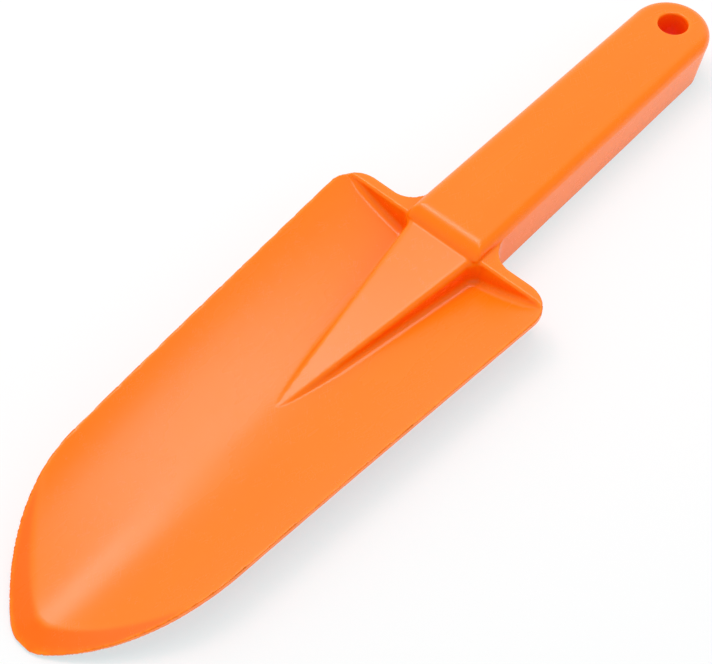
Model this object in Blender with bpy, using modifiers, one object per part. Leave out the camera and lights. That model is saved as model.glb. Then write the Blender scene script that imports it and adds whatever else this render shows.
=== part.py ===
"""Camp trowel: one plastic moulding, modelled as the named regions that it is made of.

Metres, +Z up. The trowel lies on its back as it would on a table, with the hollow of the blade facing up.
+X points from the butt of the handle to the tip of the blade, and the trowel is the same on both sides of Y = 0.
The origin is at the middle of its length and width, on the surface that it lies on.
The regions meet face to face on shared planes, so together they are the one moulding.
"""

import math

import bmesh
import bpy
from mathutils import Matrix, Vector

# Overall
LENGTH = 0.270
WALL = 0.0024

# Handle
HANDLE_HEIGHT = 0.0171
HANDLE_WIDTH_AT_BUTT = 0.0253
HANDLE_WIDTH_AT_NECK = 0.0258
BUTT_REACH = 0.0128
BUTT_DRAFT = 0.0016
NECK_DRAFT = 0.0004
CHANNEL_DRAFT = 0.0008
DECK_EDGE_RADIUS = 0.0021
NECK_STEP_FROM_BUTT = 0.1178
NECK_STEP_DROP = 0.00385

# Hanging hole in the butt
HOLE_DIAMETER = 0.0091
HOLE_FROM_BUTT = 0.0114
HOLE_EDGE_RADIUS = 0.0005
EYELET_WALL = 0.0016
EYELET_RECESS = 0.0006

# Cross ribs in the channel of the handle
RIB_COUNT = 4
RIB_THICKNESS = 0.0016
RIB_RECESS = 0.0020
RIB_TO_EYELET = 0.0120

# Shoulder wall across the rear of the blade
SHOULDER_HEIGHT = HANDLE_HEIGHT - NECK_STEP_DROP
SHOULDER_WIDTH = 0.0733
SHOULDER_WALL = 0.0029
SHOULDER_CORNER_RADIUS = 0.0091
SHOULDER_FACE_DRAFT = 0.0010
WALL_CORNER_RADIUS = 0.0060
WALL_CORNER_FLARE = 0.0008
NECK_FILLET_RADIUS = 0.0079

# Blade
BLADE_TAPER = math.radians(4.0)
TIP_SIDE_RADIUS = 0.0580
TIP_RADIUS = 0.0103
FLOOR_HEIGHT = 0.0039
TIP_FLOOR_HEIGHT = 0.0026
TROUGH_RIM_RISE = 0.00045
TROUGH_DEPTH = SHOULDER_HEIGHT + TROUGH_RIM_RISE - FLOOR_HEIGHT
TROUGH_GAIN = 0.52
TROUGH_POWER = 1.88
TIP_REGION_LENGTH = 0.0500

# Bevelled digging edge round the tip
BEVEL_WIDTH = 0.0070
BEVEL_LAND = 0.0006
BEVEL_FADED_SHARE = 0.08
BEVEL_END_ANGLE = math.radians(56.5)
BEVEL_FADE = 0.76

# Spine that runs from the handle down into the blade
SPINE_WIDTH = 0.0242
SPINE_NOSE_WIDTH = 0.0030
SPINE_LENGTH = 0.0663
SPINE_SIDE_DRAFT = 0.0010
SPINE_STRIP_MARGIN = 0.0010
SPINE_HOLLOW_PINCH = 0.0004

# Finish
ORANGE = (0.93, 0.262, 0.04, 1.0)
BLADE_ROUGHNESS = 0.32
HANDLE_ROUGHNESS = 0.36

# Smoothness of round shapes
ARC_STEPS = 10
TURN_STEPS = 48
EDGE_STEPS = 4
SHARP_ANGLE = math.radians(32)

# How far a cutter runs past the face that it cuts, as a share of the face's own slope
CUT_OVERRUN = 0.25

# Places that follow from the sizes
BUTT_X = -LENGTH / 2
TIP_X = LENGTH / 2
NECK_STEP_X = BUTT_X + NECK_STEP_FROM_BUTT
SHOULDER_REAR_X = NECK_STEP_X - SHOULDER_WALL
SHOULDER_FRONT_X = SHOULDER_REAR_X + SHOULDER_CORNER_RADIUS
NECK_REAR_X = SHOULDER_REAR_X - NECK_FILLET_RADIUS
SPINE_END_X = NECK_STEP_X + SPINE_LENGTH
TIP_REGION_X = TIP_X - TIP_REGION_LENGTH
DECK_UNDERSIDE = HANDLE_HEIGHT - WALL
BUTT_RADIUS = HANDLE_WIDTH_AT_BUTT / 2
BUTT_CENTRE_X = BUTT_X + BUTT_REACH
BUTT_INNER_RADIUS = BUTT_RADIUS - WALL
HOLE_RADIUS = HOLE_DIAMETER / 2
EYELET_RADIUS = HOLE_RADIUS + EYELET_WALL
HOLE_X = BUTT_X + HOLE_FROM_BUTT
STRIP_HALF_WIDTH = SPINE_WIDTH / 2 + SPINE_SIDE_DRAFT + SPINE_STRIP_MARGIN


def between(start, end, share):
    return start + (end - start) * share


def handle_share(x):
    """How far x is along the handle, from the centre of the butt to the step at the neck."""
    return (x - BUTT_CENTRE_X) / (NECK_STEP_X - BUTT_CENTRE_X)


def handle_half_width(x):
    """Half the width of the handle's top at x, which narrows from butt to neck."""
    return between(HANDLE_WIDTH_AT_BUTT, HANDLE_WIDTH_AT_NECK, handle_share(x)) / 2


def channel_half_width(x, z):
    """Half the width of the channel in the handle at x, which narrows from the deck down to the table."""
    return handle_half_width(x) - WALL - CHANNEL_DRAFT * (1 - z / DECK_UNDERSIDE)


def taper_half_width(x):
    """Half the width of the blade between the shoulder and the curve of the tip."""
    return SHOULDER_WIDTH / 2 - math.tan(BLADE_TAPER) * (x - NECK_STEP_X)


def side_arc():
    """Where the taper ends, and the centre of the arc that leads on from it into the arc of the tip.

    The centre keeps TIP_SIDE_RADIUS to the tapered edge and touches the tip's circle from inside.
    """
    offset_x = -TIP_SIDE_RADIUS * math.sin(BLADE_TAPER)
    offset_y = -TIP_SIDE_RADIUS * math.cos(BLADE_TAPER)
    tip_centre_x = TIP_X - TIP_RADIUS
    slope = -math.tan(BLADE_TAPER)
    start_y = taper_half_width(0.0) + offset_y
    shift_x = offset_x - tip_centre_x
    reach = TIP_SIDE_RADIUS - TIP_RADIUS
    a = 1 + slope**2
    b = 2 * (shift_x + slope * start_y)
    c = shift_x**2 + start_y**2 - reach**2
    end_x = (-b - math.sqrt(b**2 - 4 * a * c)) / (2 * a)
    return end_x, Vector((end_x + offset_x, taper_half_width(end_x) + offset_y))


def blade_half_width(x):
    """Half the width of the blade at x, anywhere behind the arc of the tip."""
    taper_end_x, centre = side_arc()
    if x <= taper_end_x:
        return taper_half_width(x)
    return centre.y + math.sqrt(TIP_SIDE_RADIUS**2 - (x - centre.x) ** 2)


def tip_edge():
    """The blade's edge from the rear of the tip region round to the point, on the +Y side."""
    taper_end_x, centre = side_arc()
    tip_centre = Vector((TIP_X - TIP_RADIUS, 0.0))
    toward_tip = tip_centre - centre
    join_angle = math.atan2(toward_tip.x, toward_tip.y)
    start_x = max(TIP_REGION_X, taper_end_x)
    start_angle = math.asin((start_x - centre.x) / TIP_SIDE_RADIUS)
    points = [Vector((TIP_REGION_X, blade_half_width(TIP_REGION_X)))]
    for step in range(ARC_STEPS + 1):
        angle = between(start_angle, join_angle, step / ARC_STEPS)
        arm = Vector((math.sin(angle), math.cos(angle)))
        points.append(centre + TIP_SIDE_RADIUS * arm)
    for step in range(1, ARC_STEPS + 1):
        angle = between(join_angle, math.pi / 2, step / ARC_STEPS)
        arm = Vector((math.sin(angle), math.cos(angle)))
        points.append(tip_centre + TIP_RADIUS * arm)
    points[-1] = Vector((TIP_X, 0.0))
    if points[1].x - points[0].x < WALL / 10:
        points.pop(1)
    return points


def floor_height(x):
    """Height of the trough's centre line, which dips towards the tip."""
    share = max(0.0, (x - SPINE_END_X) / (TIP_X - SPINE_END_X))
    return between(FLOOR_HEIGHT, TIP_FLOOR_HEIGHT, share**2)


def trough_height(x, y):
    """Height of the hollow face of the blade, which gets deeper from the shoulder to the tip."""
    gain = 1 + TROUGH_GAIN * (x - NECK_STEP_X) / (TIP_X - NECK_STEP_X)
    return floor_height(x) + gain * TROUGH_DEPTH * (abs(y) / (SHOULDER_WIDTH / 2)) ** TROUGH_POWER


def spine_share(x):
    return min(1.0, max(0.0, (x - NECK_STEP_X) / SPINE_LENGTH))


def spine_section(x):
    """Half widths of the spine's top and foot, and the height of its top, at x."""
    share = spine_share(x)
    top = between(SPINE_WIDTH, SPINE_NOSE_WIDTH, share) / 2
    foot = top + between(SPINE_SIDE_DRAFT, 0.0, share)
    height = between(SHOULDER_HEIGHT, floor_height(SPINE_END_X), share)
    return top, foot, max(height, trough_height(x, top))


def strip_points(x, upper):
    """Half a cross-section of the middle strip of the blade, from the spine's centre out to the strip's edge."""
    top, foot, height = spine_section(x)
    if not upper:
        top = max(top - WALL, SPINE_HOLLOW_PINCH)
        foot = max(foot - WALL, top + SPINE_HOLLOW_PINCH)
    drop = 0.0 if upper else WALL
    points = [(0.0, height - drop), (top, height - drop), (foot, trough_height(x, foot) - drop)]
    mid = (foot + STRIP_HALF_WIDTH) / 2
    for y in (mid, STRIP_HALF_WIDTH):
        points.append((y, trough_height(x, y) - drop))
    return points


def mirrored(points):
    """A half outline from the centre line outwards, made whole from -Y to +Y."""
    left = [(-y, z) for y, z in reversed(points)]
    return left + points[1:]


def start_scene():
    for item in list(bpy.data.objects):
        bpy.data.objects.remove(item, do_unlink=True)
    part = bpy.data.collections.new("camp_trowel")
    cutters = bpy.data.collections.new("cutters")
    for collection in (part, cutters):
        bpy.context.scene.collection.children.link(collection)
    root = bpy.data.objects.new("camp_trowel_frame", None)
    part.objects.link(root)
    return part, cutters, root


PART, CUTTERS, ROOT = start_scene()


def plastic(name, roughness):
    """Satin orange plastic for one region."""
    material = bpy.data.materials.new(name)
    material.use_nodes = True
    shader = material.node_tree.nodes["Principled BSDF"]
    shader.inputs["Base Color"].default_value = ORANGE
    shader.inputs["Roughness"].default_value = roughness
    shader.inputs["Metallic"].default_value = 0.0
    material.diffuse_color = ORANGE
    return material


def add_region(name, mesh, roughness, location=(0.0, 0.0, 0.0)):
    """Puts a finished mesh in the part, shaded smooth across gentle angles, with its own material."""
    mesh.name = name
    mesh.shade_smooth()
    mesh.set_sharp_from_angle(angle=SHARP_ANGLE)
    mesh.materials.clear()
    mesh.materials.append(plastic(name + "_plastic", roughness))
    item = bpy.data.objects.new(name, mesh)
    item.location = location
    item.parent = ROOT
    PART.objects.link(item)
    return item


def finished_mesh(form, name):
    """A mesh from a working form, with its normals facing out and its doubles merged."""
    bmesh.ops.remove_doubles(form, verts=form.verts, dist=1e-6)
    bmesh.ops.recalc_face_normals(form, faces=form.faces)
    mesh = bpy.data.meshes.new(name)
    form.to_mesh(mesh)
    form.free()
    return mesh


def slab(name, along, across, place):
    """A closed two-faced sheet: a grid given a thickness, then each point put where place(i, j, upper) says."""
    form = bmesh.new()
    bmesh.ops.create_grid(form, x_segments=along, y_segments=across, size=0.5)
    under = bmesh.ops.extrude_face_region(form, geom=form.faces[:])
    lower = {item for item in under["geom"] if isinstance(item, bmesh.types.BMVert)}
    for vert in form.verts:
        i = round((vert.co.x + 0.5) * along)
        j = round((vert.co.y + 0.5) * across)
        vert.co = place(i, j, vert not in lower)
    return finished_mesh(form, name)


def block(name, place):
    """A cube whose eight corners go where place(front, outer, upper) says."""
    form = bmesh.new()
    bmesh.ops.create_cube(form, size=1.0)
    for vert in form.verts:
        vert.co = place(vert.co.x > 0, vert.co.y > 0, vert.co.z > 0)
    return finished_mesh(form, name)


def outline_prism(name, points, low, high):
    """A flat outline with straight sides between two heights."""
    curve = bpy.data.curves.new(name, "CURVE")
    curve.dimensions = "2D"
    curve.fill_mode = "BOTH"
    curve.extrude = (high - low) / 2
    spline = curve.splines.new("POLY")
    spline.points.add(len(points) - 1)
    for point, (x, y) in zip(spline.points, points):
        point.co = (x, y, 0.0, 1.0)
    spline.use_cyclic_u = True
    guide = bpy.data.objects.new(name, curve)
    CUTTERS.objects.link(guide)
    depsgraph = bpy.context.evaluated_depsgraph_get()
    mesh = bpy.data.meshes.new_from_object(guide.evaluated_get(depsgraph))
    bpy.data.objects.remove(guide, do_unlink=True)
    form = bmesh.new()
    form.from_mesh(mesh)
    bpy.data.meshes.remove(mesh)
    bmesh.ops.remove_doubles(form, verts=form.verts, dist=1e-6)
    for vert in form.verts:
        vert.co.z = high if vert.co.z > 0 else low
    flat = [edge for edge in form.edges if len({round(vert.co.z, 6) for vert in edge.verts}) == 1]
    inner = [edge for edge in flat if abs(edge.calc_face_angle(1.0)) < 1e-3]
    bmesh.ops.dissolve_edges(form, edges=inner, use_verts=False)
    return finished_mesh(form, name)


def turned(name, profile, steps=TURN_STEPS):
    """A closed profile in the XZ plane turned once round +Z, running down its outer side."""
    mesh = bpy.data.meshes.new(name + "_profile")
    edges = [(i, (i + 1) % len(profile)) for i in range(len(profile))]
    mesh.from_pydata([(r, 0.0, z) for r, z in profile], edges, [])
    guide = bpy.data.objects.new(name + "_profile", mesh)
    CUTTERS.objects.link(guide)
    screw = guide.modifiers.new("turn", "SCREW")
    screw.steps = steps
    screw.render_steps = steps
    screw.use_merge_vertices = True
    screw.merge_threshold = 0.00001
    depsgraph = bpy.context.evaluated_depsgraph_get()
    made = bpy.data.meshes.new_from_object(guide.evaluated_get(depsgraph))
    bpy.data.objects.remove(guide, do_unlink=True)
    bpy.data.meshes.remove(mesh)
    return made


def cutter(name, mesh, location=(0.0, 0.0, 0.0)):
    item = bpy.data.objects.new(name, mesh)
    item.location = location
    item.display_type = "WIRE"
    item.hide_render = True
    CUTTERS.objects.link(item)
    return item


def cut(item, tool):
    boolean = item.modifiers.new(tool.name, "BOOLEAN")
    boolean.operation = "DIFFERENCE"
    boolean.solver = "EXACT"
    boolean.object = tool


def arc(centre, radius, start, end, steps=ARC_STEPS):
    """Points of a plan arc between two angles, both ends included."""
    points = []
    for step in range(steps + 1):
        angle = between(start, end, step / steps)
        points.append((centre[0] + radius * math.cos(angle), centre[1] + radius * math.sin(angle)))
    return points


def round_top_edge(mesh, radius, top):
    """Rounds the outer top edge of a prism."""
    form = bmesh.new()
    form.from_mesh(mesh)
    rim = [
        edge
        for edge in form.edges
        if all(abs(vert.co.z - top) < 1e-6 for vert in edge.verts)
    ]
    bmesh.ops.bevel(form, geom=rim, offset=radius, segments=EDGE_STEPS, profile=0.5, affect="EDGES")
    form.to_mesh(mesh)
    form.free()


def hole_cutter():
    """The bore of the hanging hole, flared at the top by the rounding of its rim."""
    flare = HOLE_RADIUS + HOLE_EDGE_RADIUS
    above = HANDLE_HEIGHT + WALL
    below = -WALL
    profile = [
        (0.0, above),
        (flare, above),
        (flare, HANDLE_HEIGHT),
        (HOLE_RADIUS, HANDLE_HEIGHT - HOLE_EDGE_RADIUS),
        (HOLE_RADIUS, below),
        (0.0, below),
    ]
    return cutter("hole_cutter", turned("hole_cutter", profile), (HOLE_X, 0.0, 0.0))


def make_handle_deck():
    """The flat top of the handle: round at the butt, square at the step, and rounded along its top edge."""
    round_end = arc((0.0, 0.0), BUTT_RADIUS, math.pi / 2, 3 * math.pi / 2, 2 * ARC_STEPS)
    butt = [(BUTT_CENTRE_X + x * BUTT_REACH / BUTT_RADIUS, y) for x, y in round_end]
    neck = HANDLE_WIDTH_AT_NECK / 2
    outline = butt + [(NECK_STEP_X, -neck), (NECK_STEP_X, neck)]
    mesh = outline_prism("handle_deck", outline, DECK_UNDERSIDE, HANDLE_HEIGHT)
    round_top_edge(mesh, min(DECK_EDGE_RADIUS, 0.9 * WALL), HANDLE_HEIGHT)
    deck = add_region("handle_deck", mesh, HANDLE_ROUGHNESS)
    cut(deck, hole_cutter())


def make_handle_sides():
    """The two drafted side walls, which the trowel lies on."""
    for side, label in ((-1, "right"), (1, "left")):

        def place(front, outer, upper, side=side):
            x = NECK_REAR_X if front else BUTT_CENTRE_X
            z = DECK_UNDERSIDE if upper else 0.0
            draft = 0.0 if upper else between(BUTT_DRAFT, NECK_DRAFT, handle_share(x))
            y = handle_half_width(x) - draft if outer else channel_half_width(x, z)
            return Vector((x, side * y, z))

        name = "handle_side_" + label
        add_region(name, block(name, place), HANDLE_ROUGHNESS)


def make_butt_wall():
    """The half-round end wall of the handle, a little flatter than a half circle."""
    profile = [
        (BUTT_RADIUS, DECK_UNDERSIDE),
        (BUTT_RADIUS - BUTT_DRAFT, 0.0),
        (BUTT_INNER_RADIUS - CHANNEL_DRAFT, 0.0),
        (BUTT_INNER_RADIUS, DECK_UNDERSIDE),
    ]
    mesh = turned("butt_wall", profile)
    mesh.transform(Matrix.Diagonal((BUTT_REACH / BUTT_RADIUS, 1.0, 1.0, 1.0)))
    wall = add_region("butt_wall", mesh, HANDLE_ROUGHNESS, (BUTT_CENTRE_X, 0.0, 0.0))

    def in_front(front, outer, upper):
        x = BUTT_CENTRE_X + (2 * BUTT_RADIUS if front else 0.0)
        y = 2 * BUTT_RADIUS * (1 if outer else -1)
        return Vector((x, y, 2 * HANDLE_HEIGHT if upper else -HANDLE_HEIGHT))

    cut(wall, cutter("butt_half_cutter", block("butt_half_cutter", in_front)))


def make_hanging_eyelet():
    """The tube that lines the hanging hole below the deck."""
    profile = [
        (EYELET_RADIUS, DECK_UNDERSIDE),
        (EYELET_RADIUS, EYELET_RECESS),
        (HOLE_RADIUS, EYELET_RECESS),
        (HOLE_RADIUS, DECK_UNDERSIDE),
    ]
    mesh = turned("hanging_eyelet", profile)
    add_region("hanging_eyelet", mesh, HANDLE_ROUGHNESS, (HOLE_X, 0.0, 0.0))


def make_handle_ribs():
    """Cross ribs that hold the side walls apart, evenly spaced between the eyelet and the neck."""
    first = HOLE_X + EYELET_RADIUS + RIB_TO_EYELET
    pitch = (NECK_REAR_X - first) / RIB_COUNT
    for number in range(RIB_COUNT):
        centre = first + pitch * number

        def place(front, outer, upper, centre=centre):
            x = RIB_THICKNESS / 2 * (1 if front else -1)
            z = DECK_UNDERSIDE if upper else RIB_RECESS
            y = channel_half_width(centre + x, z) * (1 if outer else -1)
            return Vector((x, y, z))

        name = f"handle_rib_{number + 1}"
        add_region(name, block(name, place), HANDLE_ROUGHNESS, (centre, 0.0, 0.0))


def make_neck_collar():
    """The handle's sides and its stepped front face, where they stand above the shoulder."""
    rear_half = handle_half_width(NECK_REAR_X)
    front_half = HANDLE_WIDTH_AT_NECK / 2
    inside_x = NECK_STEP_X - WALL
    outline = [
        (NECK_REAR_X, rear_half - WALL),
        (inside_x, handle_half_width(inside_x) - WALL),
        (inside_x, WALL - handle_half_width(inside_x)),
        (NECK_REAR_X, WALL - rear_half),
        (NECK_REAR_X, -rear_half),
        (NECK_STEP_X, -front_half),
        (NECK_STEP_X, front_half),
        (NECK_REAR_X, rear_half),
    ]
    mesh = outline_prism("neck_collar", outline, SHOULDER_HEIGHT, DECK_UNDERSIDE)
    add_region("neck_collar", mesh, HANDLE_ROUGHNESS)


def shoulder_outline():
    """Plan of the shoulder: fillets into the handle, a straight rear edge, round corners and a flat front."""
    half = blade_half_width(SHOULDER_FRONT_X)
    handle_half = handle_half_width(NECK_REAR_X)
    fillet_centre = (NECK_REAR_X, handle_half + NECK_FILLET_RADIUS)
    corner_centre = (SHOULDER_FRONT_X, half - SHOULDER_CORNER_RADIUS)
    fillet = arc(fillet_centre, NECK_FILLET_RADIUS, -math.pi / 2, 0.0)
    corner = arc(corner_centre, SHOULDER_CORNER_RADIUS, math.pi, math.pi / 2)
    side = fillet + corner
    return side + [(x, -y) for x, y in reversed(side)]


def wall_front_plan():
    """Where the front of the wall stands at its top, beyond the strip: straight, then round the rear corner."""
    corner_y = SHOULDER_WIDTH / 2 + WALL_CORNER_FLARE - WALL_CORNER_RADIUS
    straight = [(NECK_STEP_X, between(STRIP_HALF_WIDTH, corner_y, step / 6)) for step in range(1, 6)]
    corner_centre = (NECK_STEP_X + WALL_CORNER_RADIUS, corner_y)
    corner = arc(corner_centre, WALL_CORNER_RADIUS, math.pi, math.pi / 2)
    return straight + corner + [(corner[-1][0], SHOULDER_WIDTH / 2 + WALL)]


def shoulder_hollow():
    """What is scooped out of the shoulder block in front of its wall: the trough and the sides of the spine."""
    far_x = SHOULDER_FRONT_X + SHOULDER_WALL
    plan = wall_front_plan()
    top = SHOULDER_HEIGHT + WALL

    def section(shift, station_x):
        """Points (x, y, z) across one station: its own x, or the wall's front moved by shift."""
        x = NECK_STEP_X + shift if station_x is None else station_x
        half = [(x, y, z) for y, z in strip_points(x, True)]
        for front_x, y in plan:
            x = front_x + shift if station_x is None else station_x
            half.append((x, y, trough_height(x, y)))
        return [(x, -y, z) for x, y, z in reversed(half)] + half[1:]

    foot = section(SHOULDER_FACE_DRAFT, None)
    far = section(0.0, far_x)

    def place(i, j, upper):
        x, y, z = (foot, foot, far)[i][j]
        if i == 0:
            x -= (1 + CUT_OVERRUN) * SHOULDER_FACE_DRAFT
            z = between(SHOULDER_HEIGHT, z, -CUT_OVERRUN)
        return Vector((x, y, top if upper else z))

    return cutter("shoulder_hollow", slab("shoulder_hollow", 2, len(foot) - 1, place))


def shoulder_underside():
    """What is cut away below the shoulder block, so that it follows the blade's underside."""
    half = SHOULDER_WIDTH / 2 + WALL
    across = 4 * ARC_STEPS
    stations = [NECK_REAR_X - WALL, SHOULDER_FRONT_X + WALL]

    def place(i, j, upper):
        y = between(-half, half, j / across)
        z = trough_height(stations[i], y) - WALL if upper else -2 * WALL
        return Vector((stations[i], y, z))

    return cutter("shoulder_underside", slab("shoulder_underside", 1, across, place))


def shoulder_channel():
    """The channel of the handle, carried on through the shoulder into the hollow of the spine."""
    half = handle_half_width(NECK_REAR_X) - WALL
    far_x = SHOULDER_FRONT_X + WALL
    far_half, _, far_height = spine_section(far_x)
    stations = [
        (NECK_REAR_X - WALL, half, SHOULDER_HEIGHT - WALL),
        (NECK_STEP_X, half, SHOULDER_HEIGHT - WALL),
        (far_x, far_half - WALL, far_height - WALL),
    ]

    def place(i, j, upper):
        x, y, z = stations[i]
        return Vector((x, y * (2 * j - 1), z if upper else -2 * WALL))

    return cutter("shoulder_channel", slab("shoulder_channel", 2, 1, place))


def make_shoulder_wall():
    """The wall across the rear of the blade, with its flat top, round corners and fillets into the handle."""
    mesh = outline_prism("shoulder_wall", shoulder_outline(), 0.0, SHOULDER_HEIGHT)
    wall = add_region("shoulder_wall", mesh, BLADE_ROUGHNESS)
    for tool in (shoulder_hollow(), shoulder_underside(), shoulder_channel()):
        cut(wall, tool)


def make_spine():
    """The hollow wedge in the middle of the blade, with the strip of floor that it rises from."""
    stations = 12
    upper_points = len(mirrored(strip_points(SPINE_END_X, True)))

    def place(i, j, upper):
        x = between(SHOULDER_FRONT_X, SPINE_END_X, i / stations)
        y, z = mirrored(strip_points(x, upper))[j]
        return Vector((x, y, z))

    add_region("spine", slab("spine", stations, upper_points - 1, place), BLADE_ROUGHNESS)


def make_blade_floor():
    """The middle of the trough, from the end of the spine to the tip region."""
    along = 8
    across = 8

    def place(i, j, upper):
        x = between(SPINE_END_X, TIP_REGION_X, i / along)
        y = between(-STRIP_HALF_WIDTH, STRIP_HALF_WIDTH, j / across)
        return Vector((x, y, trough_height(x, y) - (0.0 if upper else WALL)))

    add_region("blade_floor", slab("blade_floor", along, across, place), BLADE_ROUGHNESS)


def make_blade_wings():
    """The raised sides of the trough, out to the blade's edges."""
    along = 16
    across = 8
    for side, label in ((-1, "right"), (1, "left")):

        def place(i, j, upper, side=side):
            x = between(SHOULDER_FRONT_X, TIP_REGION_X, i / along)
            y = between(STRIP_HALF_WIDTH, blade_half_width(x), j / across)
            return Vector((x, side * y, trough_height(x, y) - (0.0 if upper else WALL)))

        name = "blade_wing_" + label
        add_region(name, slab(name, along, across, place), BLADE_ROUGHNESS)


def make_blade_tip():
    """The rounded end of the blade, with a bevel round it that fades out along the sides."""
    side = tip_edge()
    edge = [Vector((point.x, -point.y)) for point in side[:-1]] + [point for point in reversed(side)]
    centre = Vector((TIP_REGION_X, 0.0))
    inner_rings = 5
    rings = inner_rings + 1

    def bevel_share(point):
        angle = abs(math.atan2(point.y, point.x - centre.x))
        return max(0.0, 1 - angle / BEVEL_END_ANGLE)

    def place(i, j, upper):
        rim = edge[j]
        reach = (rim - centre).length
        fade = bevel_share(rim) ** BEVEL_FADE
        width = BEVEL_WIDTH * between(BEVEL_FADED_SHARE, 1.0, fade)
        inner = 1 - width / reach
        share = 1.0 if i == rings else inner * i / inner_rings
        point = centre.lerp(rim, share)
        z = trough_height(point.x, point.y)
        if not upper:
            z -= WALL
        elif i == rings:
            z -= fade * (WALL - BEVEL_LAND)
        return Vector((point.x, point.y, z))

    add_region("blade_tip", slab("blade_tip", rings, len(edge) - 1, place), BLADE_ROUGHNESS)


def make_trowel():
    make_handle_deck()
    make_handle_sides()
    make_butt_wall()
    make_hanging_eyelet()
    make_handle_ribs()
    make_neck_collar()
    make_shoulder_wall()
    make_spine()
    make_blade_floor()
    make_blade_wings()
    make_blade_tip()


make_trowel()
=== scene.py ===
"""Looks of the camp trowel: laid out as a Blender add-on, and run as a script.

Metres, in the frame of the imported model: +X from the butt of the handle to the tip of the blade, +Z up, and
the same on both sides of Y = 0. The whole moulding, with its fillets and rounded edges, comes from one
distance formula that is built as Geometry Nodes. It is then parted into the handle and the blade.
"""

import math
from types import SimpleNamespace

import bmesh
import bpy
import numpy as np
from bpy.props import FloatProperty, FloatVectorProperty, IntProperty, PointerProperty
from mathutils import Matrix, Vector


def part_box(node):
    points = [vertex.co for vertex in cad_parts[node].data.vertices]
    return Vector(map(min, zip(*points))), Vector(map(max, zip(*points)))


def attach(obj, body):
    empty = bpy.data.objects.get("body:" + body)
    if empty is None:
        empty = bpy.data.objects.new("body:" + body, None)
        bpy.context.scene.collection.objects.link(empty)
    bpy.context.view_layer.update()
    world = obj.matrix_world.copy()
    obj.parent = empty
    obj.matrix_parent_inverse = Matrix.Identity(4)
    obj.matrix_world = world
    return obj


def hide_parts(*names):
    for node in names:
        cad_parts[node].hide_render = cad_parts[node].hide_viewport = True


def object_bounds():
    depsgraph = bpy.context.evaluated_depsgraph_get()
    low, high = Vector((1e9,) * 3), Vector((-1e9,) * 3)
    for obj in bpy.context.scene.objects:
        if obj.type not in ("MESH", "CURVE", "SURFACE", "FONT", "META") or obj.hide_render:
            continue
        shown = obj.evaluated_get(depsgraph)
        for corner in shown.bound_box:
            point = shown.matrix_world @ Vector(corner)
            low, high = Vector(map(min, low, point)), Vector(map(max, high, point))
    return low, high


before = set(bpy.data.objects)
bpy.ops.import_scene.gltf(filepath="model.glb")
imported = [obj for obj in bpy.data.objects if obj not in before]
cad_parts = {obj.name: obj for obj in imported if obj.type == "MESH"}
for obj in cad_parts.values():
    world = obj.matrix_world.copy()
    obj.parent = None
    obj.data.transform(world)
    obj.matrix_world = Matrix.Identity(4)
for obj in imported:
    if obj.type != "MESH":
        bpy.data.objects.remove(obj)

bl_info = {
    "name": "Camp Trowel",
    "version": (1, 0, 0),
    "blender": (4, 5, 0),
    "location": "3D View > Sidebar > Camp Trowel",
    "description": "Makes a one-piece plastic camp trowel and the table that it lies on",
    "category": "Add Mesh",
}

CAD_LOW, CAD_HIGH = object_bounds()
SHOULDER_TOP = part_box("shoulder_wall")[1]
COLLAR_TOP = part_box("neck_collar")[1]
EYELET_LOW, EYELET_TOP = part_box("hanging_eyelet")
RIB_LOW, RIB_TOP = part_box("handle_rib_1")
NEXT_RIB_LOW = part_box("handle_rib_2")[0]
HOLE_X = (EYELET_LOW.x + EYELET_TOP.x) / 2
EYELET_RADIUS = (EYELET_TOP.x - EYELET_LOW.x) / 2
RIB_X = (RIB_LOW.x + RIB_TOP.x) / 2

HANDLE_NODES = (
    "handle_deck",
    "handle_side_left",
    "handle_side_right",
    "butt_wall",
    "hanging_eyelet",
    "handle_rib_1",
    "handle_rib_2",
    "handle_rib_3",
    "handle_rib_4",
    "neck_collar",
    "shoulder_wall",
)
BLADE_NODES = (
    "spine",
    "blade_floor",
    "blade_wing_left",
    "blade_wing_right",
    "blade_tip",
)

# Form of the moulding: shares of its sizes, and divisors of them where a name ends in PART
SPINE_EDGE_AT_END = 0.5
THIN_EDGE = 0.3
THIN_EDGE_GAIN = 3.0
CLEAR_GAIN = 2.0
UNDER_FOOT = 2.0
INNER_EDGE_PART = 3.0
RIB_EDGE_PART = 4.0

# Making of its surface: the probe's arm and the margin are in voxels, and ON_CUT is in metres
SURFACE_STEPS = 4
PROBE_ARM = 0.05
LEAST_STEEPNESS = 0.05
SURFACE_DENSITY = 0.5
OUTER_DENSITY = -10.0
MARGIN_VOXELS = 3
ON_CUT = 1e-7
SQUARE_TO_CUT = 0.999

# Painted shade in hollows and on the bevel: how many walls wide a hollow may be, and how strongly hollows and
# bevel take the shade colour
HOLLOW_REACH = 3.0
HOLLOW_GAIN = 2.0
BEVEL_SHADE = 0.7

# Skin and scuffs of the plastic, and the painted highlight on its convex edges
NOISE_MIDDLE = 0.5
STREAK_STRETCH = 0.3
STREAK_ROUGHNESS = 0.12
SCUFF_LINES = ((0.35, 0.05), (-0.8, 0.08))
HAIR_SPACING = 0.12
HAIR_SHARPNESS = 60.0
SCUFF_SPREAD = 0.52
SCUFF_SPREAD_GAIN = 8.0
SCUFF_DEPTH = 0.5
HIGHLIGHT_PATCH = 0.5
HIGHLIGHT_GAIN = 2.5
HIGHLIGHT_LEVEL = 0.35
HIGHLIGHT_CONTRAST = 2.0
HIGHLIGHT_GLOSS = 0.05

# Stage: the camera's aim and film, the table, where the near side of the room starts, and the light's bounces
AIM_HEIGHT = 0.010
SENSOR_WIDTH = 36.0
TABLE_HALF_WIDTH = 3.0
TABLE_DROP = 0.00005
TABLE_ROUGHNESS = 0.9
NEAR_SIDE_TURN = 0.7
NEAR_SIDE_START = 0.05
NEAR_SIDE_WIDTH = 0.3
LIGHT_BOUNCES = 12


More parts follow.
